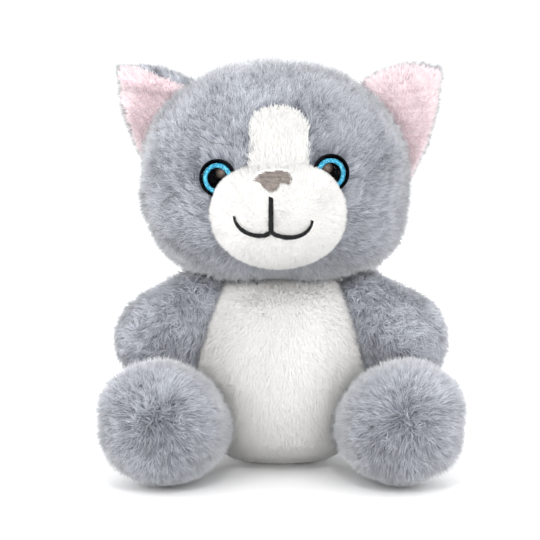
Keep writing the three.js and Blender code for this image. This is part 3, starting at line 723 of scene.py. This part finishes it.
def add_muzzle():
    """The white muzzle is a puffed pad, whose upper corners lie on the eyes' lower inner edges.

    Returns its surface, for the embroidery to lie on.
    """
    bm = bmesh.new()
    bmesh.ops.create_icosphere(bm, subdivisions=5, radius=1)
    skin = new_object("muzzle_skin", to_mesh(bm, "muzzle_skin"), "white_skin")
    middle = np.array([MUZZLE_MIDDLE[0], MUZZLE_HIGH.y - MUZZLE_BACK,
                       MUZZLE_LOW.z + MUZZLE_RADII[2] * MM])
    points = coords(skin.data)
    points = np.sign(points) * np.abs(points) ** MUZZLE_SQUARE
    front = points[:, 1] < 0
    across = np.minimum(1, np.hypot(points[front, 0], points[front, 2]))
    points[front, 1] = -np.sqrt(1 - across ** MUZZLE_WALL)
    set_coords(skin.data, middle + points * np.array(MUZZLE_RADII) * MM)
    inflate(skin, 0.4 * MM)
    raise_over_eyes(skin)
    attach(skin, "head")
    finish_skin(["muzzle_panel"])

    roots = roots_on(skin, "white", 201)
    outer = roots.at[:, 1] < MUZZLE_HIGH.y + 4 * MM
    for node in ("nose_embroidery", "mouth_embroidery"):
        outer &= ~near_node(roots.at, node, 0.5 * MM)
    roots = roots.keep(outer)
    comb = unit(roots.at - MUZZLE_MIDDLE + np.array([0, 0.02, 0])) * 0.7
    edge = smoothstep((in_muzzle(roots.at) - 0.75) / 0.25)
    by_eye = np.zeros(len(roots))
    for eye in EYES.values():
        gap = np.linalg.norm(roots.at - eye.at, axis=1)
        by_eye = np.maximum(by_eye, 1 - smoothstep((gap - 8 * MM) / (8 * MM)))
    # Painted light and shade: the muzzle's white takes a low tone, darker than the belly's, where
    # the lamps fall strongest, and grows lighter where it faces down, lifting the shade under the
    # muzzle.
    tone = 0.25 + 0.4 * smoothstep(-roots.normal[:, 2])
    scale = 1 + 0.15 * edge - 0.5 * by_eye
    rise = 0.8 + 0.8 * by_eye
    grow("muzzle_fur", "head", roots, "white", comb, tone, scale, rise=rise, length=3.0)
    return skin_tree(skin)


TORSO = ["belly_panel", "back_panel", "base_panel"]
SEAM_Y = 2 * MM  # where the white front meets the grey back
FOOT = {"tall": 16 * MM, "deep": 0.45, "wide": 0.1}  # how the torso draws in at the floor


def add_torso():
    skin = add_skin("torso_skin", "torso", TORSO, "grey_skin", 3, 0.6, 2)
    points = coords(skin.data)
    foot = 1 - smoothstep(points[:, 2] / FOOT["tall"])
    points[:, 1] *= 1 - FOOT["deep"] * foot
    points[:, 0] *= 1 - FOOT["wide"] * foot
    set_coords(skin.data, points)
    low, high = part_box("access_flap")
    window = ((points[:, 1] > SEAM_Y) & (points[:, 0] > low.x) & (points[:, 0] < high.x)
              & (points[:, 2] > low.z) & (points[:, 2] < high.z))
    bm = bmesh.new()
    bm.from_mesh(skin.data)
    bm.verts.ensure_lookup_table()
    bmesh.ops.delete(bm, geom=[bm.verts[i] for i in np.flatnonzero(window)], context="VERTS")
    bm.to_mesh(skin.data)
    bm.free()
    paint(skin, "white_skin", lambda middles: middles[:, 1] < SEAM_Y)
    finish_skin(TORSO)

    grey = roots_on(skin, "grey", 301)
    grey = grey.keep(grey.at[:, 1] > SEAM_Y)
    grow("back_fur", "torso", grey, "grey", back_comb(grey.at))
    white = roots_on(skin, "white", 302)
    white = white.keep(white.at[:, 1] <= SEAM_Y)
    # Painted light: the belly's white takes a high tone, lighter than the face's, to lift the shade
    # under the chin.
    grow("belly_fur", "torso", white, "white", -UP * 0.8, 0.95)


def back_comb(points):
    """The back's pile is brushed down and a little outward."""
    return unit(points - np.array([0, 0, 90 * MM])) * 0.5 - UP * 0.9


# Each side's leg is narrower toward the belly, and its arm's shoulder stands higher, in mm.
LEG_INNER = {"left": 2.6, "right": 4.2}
ARM_LIFT = {"left": 3.2, "right": 1.2}


def shape_leg(points, side, middle, width):
    """Rounds a leg's outer side: fuller at its upper half, drawn in at the floor."""
    out = -1 if side == "left" else 1
    inner = smoothstep((middle - points[:, 0]) * out / width + 0.5)
    outer = 3.2 * bell((points[:, 2] - 46 * MM) / (14 * MM))
    outer -= 2.2 * bell((points[:, 2] - 6 * MM) / (10 * MM))
    points[:, 0] += out * LEG_INNER[side] * MM * inner
    points[:, 0] += out * outer * MM * (1 - inner)


def shape_arm(points, side):
    upper = smoothstep((points[:, 2] - 73 * MM) / (12 * MM))
    shoulder = bell((np.abs(points[:, 0]) - 34 * MM) / (17 * MM))
    points[:, 2] += ARM_LIFT[side] * MM * upper * shoulder


def add_limb(name, seed):
    side, _, kind = name.rpartition("_")
    cover = f"{name}_cover"
    skin = add_skin(f"{name}_skin", name, [cover], "grey_skin", 2.5, 0.4, 1.5)
    low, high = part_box(cover)
    middle = centre(cover)
    out = math.copysign(1, middle[0])
    points = coords(skin.data)
    if kind == "leg":
        shape_leg(points, side, middle[0], high.x - low.x)
    elif kind == "arm":
        shape_arm(points, side)
    set_coords(skin.data, points)
    finish_skin([cover])

    roots = roots_on(skin, "grey", seed)
    tone, look = 0.5, {}
    if kind == "leg":
        sole = np.array([middle[0] + out * 3 * MM, low.y, middle[2] + 7 * MM])
        pad = bell(np.linalg.norm(roots.at - sole, axis=1) / (23 * MM))
        comb = unit(roots.at - sole) * (0.75 - 0.3 * pad[:, None]) - UP * 0.3
        # Painted shade darkens the pad's middle, where the pile is seen end-on into its depth, and
        # painted light brightens the pile that faces up.
        tone = 0.45 - 0.27 * pad + 0.25 * np.maximum(0, roots.normal[:, 2])
        look = dict(rise=0.5, jitter=0.17, tuft=0.38)
    elif kind == "arm":
        shoulder = np.array([out * 30 * MM, 0.0, high.z])
        comb = unit(roots.at - shoulder) * 0.8 - UP * 0.25
        look = dict(rise=0.42)
    else:
        comb = unit(roots.at - np.array([0, low.y, middle[2]])) * 0.9
    grow(f"{name}_fur", name, roots, "grey", comb, tone, **look)


# ------------------------ ears
class EarShape:
    """An ear's outline in its own plane, and how its cloth is cupped, rolled and dented."""

    def __init__(self, side):
        self.left = side == "left"
        out = -1 if self.left else 1
        at = coords(NODES[f"{side}_ear_back"].data)
        self.root = at[np.argmax(-out * at[:, 0] + 0.3 * at[:, 2])]
        self.tip = at[np.argmax(out * at[:, 0] + 0.5 * at[:, 2])]
        low, high = at.min(0), at.max(0)
        self.middle, self.half = (low + high) / 2, (high - low) / 2
        self.tipward = unit((self.tip - self.root) * np.array([1, 0, 1]))
        self.down = np.array([self.tipward[2], 0, -self.tipward[0]])
        if self.down[2] > 0:
            self.down = -self.down

    def below_top(self, points):
        """How far each point is under the ear's upper edge, in millimetres."""
        return (points - self.root) @ self.down / MM

    def spread(self, points):
        """0 in the ear's middle and 1 about its outline."""
        flat = (points - self.middle) / self.half
        return np.hypot(flat[:, 0], flat[:, 2])

    def roll(self, points):
        return bell((self.below_top(points) - 3.0) / 4.2) if self.left else 0.0

    def crease(self, points):
        if self.left:
            return bell((self.below_top(points) - 8.5) / 3.0)
        dent = self.middle + self.half * np.array([-0.35, 0, 0.1])
        return bell(np.linalg.norm((points - dent)[:, [0, 2]], axis=1) / (9 * MM))

    def folded(self, points):
        """Where the grey back folds forward over the left ear's upper edge."""
        along = (points - self.root) @ self.tipward / MM
        return self.below_top(points) < 3.5 - 0.2 * along

    def form(self, points):
        """Cups the ear, rolls its upper edge forward and creases or dents it."""
        made = points.copy()
        made[:, 1] += (3.5 * (1 - np.clip(self.spread(points) ** 2, 0, 1.4))
                       - 2.6 * self.roll(points) + 1.6 * self.crease(points)) * MM
        return made


def add_ear(side, seed):
    body = f"{side}_ear"
    shape = EarShape(side)
    for part, cover, slot, kind, voxel in (("back", "grey_skin", "grey_plush", "grey", 1.1),
                                           ("lining", "pink_skin", "pink_plush", "pink", 0.8)):
        node = f"{side}_ear_{part}"
        skin = cad_copy(f"{node}_skin", node, cover)
        remeshed(skin, voxel * MM, 0.1 * MM, 5)
        roots = roots_on(skin, kind, seed)
        set_coords(skin.data, shape.form(coords(skin.data)))
        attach(skin, body)
        finish_skin([node])
        if part == "back":
            roots = roots.keep(roots.normal[:, 1] > -0.3)
            top = bell(shape.below_top(roots.at) / 4)
            comb = shape.tipward * 0.8 + UP * top[:, None] * 0.7
            scale = 0.55 + 0.25 * top * (1 - shape.spread(roots.at) * 0.4)
            roots.at = shape.form(roots.at)
            grow(f"{side}_ear_fur", body, roots, kind, comb, 0.7, scale, rise=0.3,
                 tuft=0.25)
        else:
            roots = roots.keep(roots.normal[:, 1] < 0.3)
            if shape.left:
                over = shape.folded(roots.at)
                folded = roots.keep(over)
                folded.at = shape.form(folded.at)
                comb = shape.tipward * 0.5 + UP
                grow(f"{side}_ear_fold", body, folded, "grey", comb, 0.55, 0.5, rise=0.4)
                roots = roots.keep(~over)
            edge = smoothstep((shape.spread(roots.at) - 0.5) / 0.5)
            comb = unit(roots.at - shape.middle) * (0.35 + 0.7 * edge[:, None])
            # Painted light on the rolled upper edge and painted shade in the left ear's crease and
            # the right ear's dent, with a lighter tone toward the outline.
            tone = (0.7 + 0.25 * shape.roll(roots.at) - 0.5 * shape.crease(roots.at)
                    + 0.15 * edge)
            roots.at = shape.form(roots.at)
            grow(f"{side}_ear_pile", body, roots, kind, comb, tone, 1 + 0.35 * edge)


# ------------------------ eyes
def bridge(bm, rings):
    """Faces between each ring of points and the next."""
    for one, two in zip(rings, rings[1:]):
        for i in range(len(one)):
            j = (i + 1) % len(one)
            bm.faces.new((one[i], one[j], two[j], two[i]))


def lathe(name, profile, at, facing, material, segments=64):
    """Turns a [radius, height] profile, in millimetres, round `facing`."""
    turn = Vector(FRONT).rotation_difference(Vector(facing)).to_matrix()
    bm = bmesh.new()
    rings = []
    for radius, height in profile:
        ring = []
        for step in range(segments):
            angle = 2 * math.pi * step / segments
            local = Vector((radius * math.cos(angle), -height, radius * math.sin(angle))) * MM
            ring.append(bm.verts.new(Vector(at) + turn @ local))
        rings.append(ring)
    bridge(bm, rings)
    bmesh.ops.remove_doubles(bm, verts=bm.verts, dist=1e-6)
    bmesh.ops.dissolve_degenerate(bm, dist=1e-7, edges=bm.edges)
    bmesh.ops.recalc_face_normals(bm, faces=bm.faces)
    return new_object(name, to_mesh(bm, name), material)


def round_cap(radius, low, high, steps=12):
    """Profile points of a round cap, from its edge at height `low` to its top at `high`."""
    tall = high - low
    ball = (radius ** 2 + tall ** 2) / (2 * tall)
    widest = math.asin(radius / ball)
    for i in range(steps + 1):
        angle = widest * (1 - i / steps)
        yield ball * math.sin(angle), high - ball * (1 - math.cos(angle))


def add_pupil_with_painted_gleam(eye):
    """Black, with a painted highlight: one soft brownish reflection painted at the pupil's upper
    inner edge.
    """
    made = Shader(f"{eye.side}_pupil", (0.002, 0.002, 0.003), 0.3, Specular_IOR_Level=0.0)
    inward = eye.inward * np.array([1, 1, 0])
    # Where the painted reflection sits: toward the muzzle, up and a little forward.
    painted_gleam_spot = eye.at + (inward * 2.8 + UP * 2.4 + eye.facing * 2) * MM
    away = made.node("ShaderNodeVectorMath", {"operation": "DISTANCE"})
    made.tree.links.new(made.place(), away.inputs[0])
    away.inputs[1].default_value = painted_gleam_spot
    near = made.node("ShaderNodeMapRange", Value=away.outputs["Value"], From_Max=2.9 * MM)
    painted_gleam = made.ramp(near.outputs["Result"], (0.0, (0.2, 0.155, 0.13)),
                      (0.55, (0.07, 0.053, 0.045)), (1.0, made.color))
    made.link(painted_gleam, "Base Color")
    made.rough(made.noise(300), 0.25, 0.4)


def add_eye_materials():
    black = Shader("eye_black", (0.002, 0.002, 0.003), 0.3, Specular_IOR_Level=0.03)
    black.rough(black.noise(300), 0.25, 0.4)
    black.shades(black.noise(90), 0.7, 1.5)

    glitter = Shader("eye_glitter", (0.02, 0.30, 0.50), 0.3, Metallic=0.3)
    flakes = glitter.node("ShaderNodeTexVoronoi", Vector=glitter.place(), Scale=2600)
    tones = glitter.ramp(flakes.outputs["Color"], (0.15, (0.004, 0.10, 0.20)),
                         (0.45, (0.008, 0.24, 0.42)), (0.7, (0.03, 0.44, 0.62)),
                         (0.92, (0.30, 0.80, 0.90)))
    glitter.link(tones, "Base Color")
    glitter.rough(flakes.outputs["Distance"], 0.2, 0.5)
    glitter.bump(flakes.outputs["Distance"], 0.15, 0.6)

    clear = Shader("eye_clear", (0.98, 0.99, 1.0), 0.02, IOR=1.06, Transmission_Weight=1.0)
    clear.rough(clear.noise(40), 0.01, 0.04)


PUPIL, IRIS = 4.7, 6.85   # outer radii, in mm
EYE_PARTS = {"cup": ("eye_black", "cup"), "iris": ("eye_glitter", "ring"),
             "pupil": ("eye_black", None), "dome": ("eye_clear", "dome")}


def add_eye(eye):
    name = f"{eye.side}_eye"
    r = eye.radius / MM
    profiles = {
        "cup": [(0, -0.9), (r - 0.8, -0.9), (r, -0.1), (r, 1.6), (r - 0.35, 2.1), (r - 0.8, 2.0),
                (r - 1.1, 1.2), (r - 1.2, 0.7), (0, 0.6)],
        "iris": [(PUPIL, 0.9), (IRIS, 1.0), (IRIS, 1.6), (IRIS - 0.8, 1.85), (PUPIL + 0.1, 1.85),
                 (PUPIL, 0.9)],
        "pupil": [(0, 0.9), (PUPIL - 0.15, 0.9), (PUPIL - 0.1, 1.7), (PUPIL - 0.6, 1.95),
                  (0, 2.05)],
        "dome": [(0, 2.3), (r - 1.5, 2.2), *round_cap(r - 1.15, 2.1, 5.3)],
    }
    shift = eye.inward * 0.45 * MM  # the ring and the pupil sit toward the muzzle
    add_pupil_with_painted_gleam(eye)
    for part, (material, stands_for) in EYE_PARTS.items():
        at = eye.at + shift if part in ("iris", "pupil") else eye.at
        finish = f"{eye.side}_pupil" if part == "pupil" else material
        made = lathe(f"{name}_{part}_piece", profiles[part], at, eye.facing, finish)
        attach(made, "head")
        if stands_for:
            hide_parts(f"{name}_{stands_for}")


# ------------------------ embroidery
def threads(name, runs, radius, material, node, sides=8):
    """Round threads along several runs of points, closed and slightly tucked in at their ends."""
    bm = bmesh.new()
    for run in runs:
        run = np.array(run)
        ways = unit(np.gradient(run, axis=0))
        rings = []
        for i, (at, way) in enumerate(zip(run, ways)):
            side = unit(np.cross(way, FRONT))
            up = np.cross(side, way)
            thick = radius * (0.55 if i in (0, len(run) - 1) else 1.0)
            turns = [2 * math.pi * k / sides for k in range(sides)]
            rings.append([bm.verts.new(at + (side * math.cos(a) + up * math.sin(a)) * thick)
                          for a in turns])
        bridge(bm, rings)
        bm.faces.new(rings[0][::-1])
        bm.faces.new(rings[-1])
    made = new_object(name, to_mesh(bm, name), material)
    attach(made, "head")
    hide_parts(node)


def spans(tree, low_x, high_x, z, step):
    """Runs of points where a row at height z crosses a surface, which may be in several parts."""
    run = []
    for x in np.arange(low_x, high_x + step, step):
        hit = front_of(tree, x, z)
        if hit is not None:
            run.append(hit)
        elif run:
            yield np.array(run)
            run = []
    if run:
        yield np.array(run)


def add_nose(muzzle):
    """Satin stitch: rows of thread from side to side of the nose."""
    tree = cad_tree("nose_embroidery")
    low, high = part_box("nose_embroidery")
    pitch, radius = 0.5 * MM, 0.31 * MM
    rng = np.random.default_rng(61)
    runs = []
    for z in np.arange(low.z + pitch / 2, high.z, pitch):
        for found in spans(tree, low.x, high.x, z, 0.2 * MM):
            if len(found) < 5:
                continue
            picked = found[np.linspace(0, len(found) - 1, 12).astype(int)]
            bow = np.sin(np.linspace(0, math.pi, len(picked)))
            picked[:, 1] = [front_of(muzzle, x, z).y for x, _, z in picked]
            picked[:, 1] -= (2.3 + 0.6 * bow + rng.normal() * 0.08) * MM
            picked[:, 2] += rng.normal() * 0.06 * MM
            picked[[0, -1], 0] += rng.normal(size=2) * 0.15 * MM
            picked[[0, -1], 1] += 0.5 * MM
            runs.append(picked)
    threads("nose_stitches", runs, radius, "nose_thread", "nose_embroidery")


def quarter(start, end, count=24):
    """A quarter of an ellipse from the bottom of a dip at `start` up to `end`, as [x, z]."""
    turn = np.linspace(0, math.pi / 2, count)
    x = start[0] + (end[0] - start[0]) * np.sin(turn)
    z = start[1] + (end[1] - start[1]) * (1 - np.cos(turn))
    return np.stack([x, z], axis=1)


def mouth_paths():
    """The line under the nose and the two halves of the smile, as [x, z] with half widths in mm."""
    low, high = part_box("mouth_embroidery")
    thread_mm = 0.85
    left, right = low.x + thread_mm * MM, high.x - thread_mm * MM
    meet = np.array([left + (right - left) * 0.471, low.z + 4.4 * MM])
    line = np.linspace((meet[0], high.z), meet - np.array([0, 0.4 * MM]), 24)
    yield line, (1.15, 1.15)
    for corner, dip in (((left, low.z + 10.2 * MM), (left + 11.5 * MM, low.z + 1.5 * MM)),
                        ((right, low.z + 8.4 * MM), (right - 9.6 * MM, low.z + 0.8 * MM))):
        inner = quarter(dip, meet)[::-1]
        yield np.concatenate([inner, quarter(dip, corner)[1:]]), (1.05, 0.55)


def add_mouth(muzzle):
    """Satin stitch along the mouth: short threads laid slantwise across each line."""
    rng = np.random.default_rng(62)
    pitch, radius = 0.32 * MM, 0.22 * MM
    runs = []
    for path, (wide, narrow) in mouth_paths():
        step = np.linalg.norm(np.diff(path, axis=0), axis=1)
        place = np.concatenate([[0], np.cumsum(step)])
        stops = np.arange(0, place[-1], pitch)
        at = np.stack([np.interp(stops, place, path[:, i]) for i in range(2)], axis=1)
        ways = unit(np.gradient(at, axis=0))
        taper = np.clip((stops / place[-1] - 0.6) / 0.4, 0, 1)
        half = (wide + (narrow - wide) * taper) * MM
        for point, way, reach in zip(at, ways, half):
            across = np.array([-way[1], way[0]]) * 0.94 + way * 0.34
            across *= 1 + rng.normal() * 0.09
            run = []
            for t in np.linspace(-1, 1, 7):
                x, z = point + across * reach * t
                hit = front_of(muzzle, x, z)
                if hit is not None:
                    lift = (1.8 + 0.8 * math.cos(t * math.pi / 2)) * MM
                    run.append((x, hit.y - lift, z))
            if len(run) > 3:
                runs.append(run)
    threads("mouth_stitches", runs, radius, "mouth_thread", "mouth_embroidery")


# ------------------------ flap, fillings and sewn-in pieces
def add_flap():
    """The furred flap over the window: a padded patch of back, rounded at its edges."""
    skin = cad_copy("flap_skin", "access_flap", "grey_skin")
    remeshed(skin, 0.9 * MM, 0.1 * MM, 6)
    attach(skin, "flap")
    finish_skin(["access_flap"])
    roots = roots_on(skin, "grey", 601)
    roots = roots.keep(roots.normal[:, 1] > 0.45)
    grow("flap_fur", "flap", roots, "grey", back_comb(roots.at), length=6)


def add_tapes():
    """Hook and loop tape: woven strips that bristle where they meet."""
    for name, body, facing, seed in (("hook_tape", "flap", -1, 611),
                                     ("loop_tape", "torso", 1, 612)):
        strip = cad_copy(f"{name}_strip", name, "tape", smooth=False)
        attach(strip, body)
        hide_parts(name)
        roots = roots_on(strip, "tape", seed)
        roots = roots.keep(roots.normal[:, 1] * facing > 0.6)
        grow(f"{name}_bristles", body, roots, "tape", FRONT * 0)


FILLED = ("torso", "neck", "head", "left_arm", "right_arm", "left_leg", "right_leg", "tail")


def add_fillings():
    """Loose fibre: lumpy closed pieces in the room that each filling has."""
    for body in FILLED:
        node = f"{body}_stuffing"
        made = cad_copy(f"{node}_fibre", node, "fibre_fill")
        remeshed(made, 2.4 * MM, 0.9 * MM, 2)
        points = coords(made.data)
        lumps = waves(points, 9 * MM, 31)[:, :1] * 0.45 + waves(points, 4 * MM, 32)[:, :1] * 0.25
        set_coords(made.data, points + normals(made.data) * np.clip(lumps, -1, 0.8) * MM)
        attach(made, body)
        finish_skin([node])


def add_liner():
    """The cloth sleeve between the window and the module."""
    made = cad_copy("pocket_liner_cloth", "pocket_liner", "white_skin")
    remeshed(made, 0.6 * MM, 0, 2)
    points = coords(made.data)
    set_coords(made.data, points + waves(points, 7 * MM, 41) * 0.12 * MM)
    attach(made, "torso")
    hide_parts("pocket_liner")


CAD_FINISHES = {
    "case_plastic": "case_front case_rear battery_door",
    "screw_steel": "case_screw_1 case_screw_2 door_screw",
    "nickel": "button_cell_1 button_cell_2 button_cell_3 "
              "contact_strip_inner contact_strip_door contact_spring",
    "speaker_steel": "speaker_frame power_switch",
    "cone_paper": "speaker_cone",
    "wire_red": "speaker_wire_red",
    "wire_black": "speaker_wire_black",
    "board": "circuit_board",
    "black_plastic": "press_switch power_slider",
    "button_plastic": "press_plate",
    "washer_plastic": "left_eye_washer right_eye_washer",
}


def add_board_material():
    board = Shader("board", (0.03, 0.16, 0.06), 0.4, Coat_Weight=0.3)
    lines = board.node("ShaderNodeTexBrick", Vector=board.place(), Scale=260,
                       Color1=(0.02, 0.13, 0.045, 1), Color2=(0.035, 0.19, 0.07, 1),
                       Mortar=(0.07, 0.30, 0.12, 1))
    board.link(lines.outputs["Color"], "Base Color")
    board.bump(lines.outputs["Fac"], 0.05, 0.5)


def finish_cad_nodes():
    for material, nodes in CAD_FINISHES.items():
        for node in nodes.split():
            for slot in NODES[node].material_slots:
                slot.material = M[material]


# ------------------------ the model
add_camera()
add_studio()
add_eye_materials()
add_board_material()
add_head()
muzzle_tree = add_muzzle()
add_torso()
for number, limb_name in enumerate(("left_arm", "right_arm", "left_leg", "right_leg", "tail")):
    add_limb(limb_name, 401 + number)
for number, ear_side in enumerate(("left", "right")):
    add_ear(ear_side, 501 + number)
    add_eye(EYES[ear_side])
add_nose(muzzle_tree)
add_mouth(muzzle_tree)
add_flap()
add_tapes()
add_fillings()
add_liner()
finish_cad_nodes()
